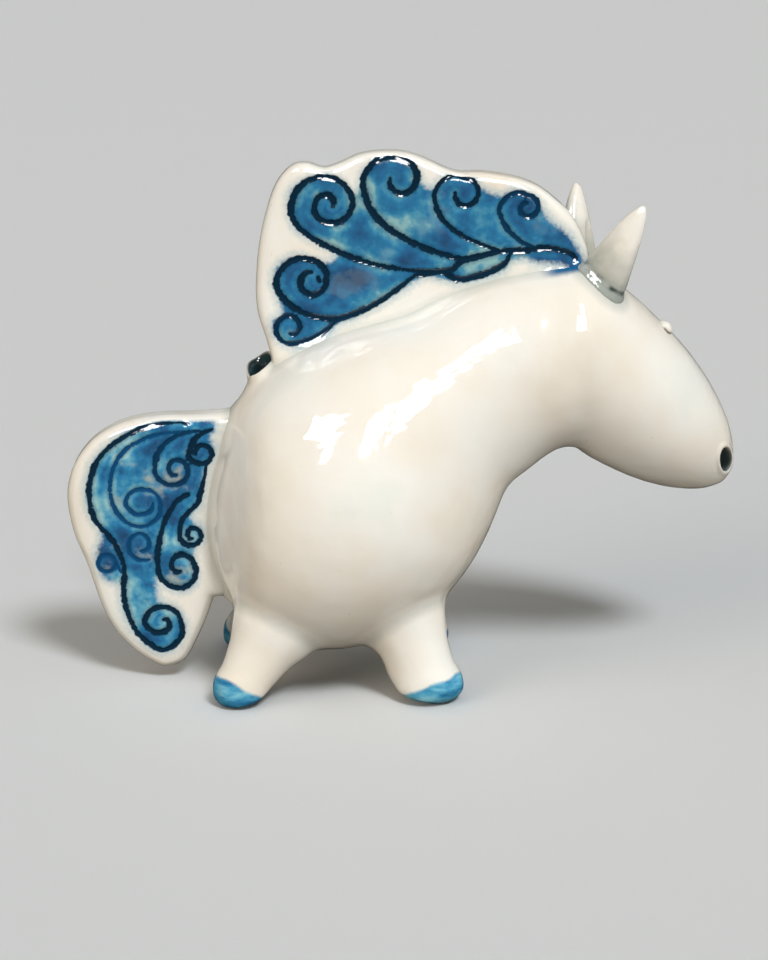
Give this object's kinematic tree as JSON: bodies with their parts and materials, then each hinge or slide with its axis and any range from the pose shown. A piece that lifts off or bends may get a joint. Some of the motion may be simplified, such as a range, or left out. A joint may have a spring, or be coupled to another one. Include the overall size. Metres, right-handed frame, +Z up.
{
  "type": "ceramic horse figurine",
  "caption": "Hand-built glazed ceramic horse figurine with a round hollow body, drooping muzzle, slab mane and tail carved with blue scrolls, and short legs with blue hooves.",
  "frame": {"origin": "on the table, under the middle of the figure's box", "axes": "+Z up, +X towards the muzzle, +Y towards the figure's left side"},
  "size_m": [0.161, 0.072, 0.1289],
  "materials": {
    "white_glaze": "gloss",
    "blue_scroll_glaze": "gloss",
    "hoof_glaze": "gloss",
    "eye_glaze": "gloss"
  },
  "bodies": {
    "root": {"belly_bowl": "white_glaze", "shoulder_and_neck": "white_glaze", "head": "white_glaze", "mane": "blue_scroll_glaze", "tail": "blue_scroll_glaze", "ear_right": "white_glaze", "ear_left": "white_glaze", "eye_right": "eye_glaze", "eye_left": "eye_glaze", "rear_leg_right": "white_glaze", "rear_leg_left": "white_glaze", "front_leg_right": "white_glaze", "front_leg_left": "white_glaze", "rear_hoof_right": "hoof_glaze", "rear_hoof_left": "hoof_glaze", "front_hoof_right": "hoof_glaze", "front_hoof_left": "hoof_glaze"}
  },
  "joints": []
}
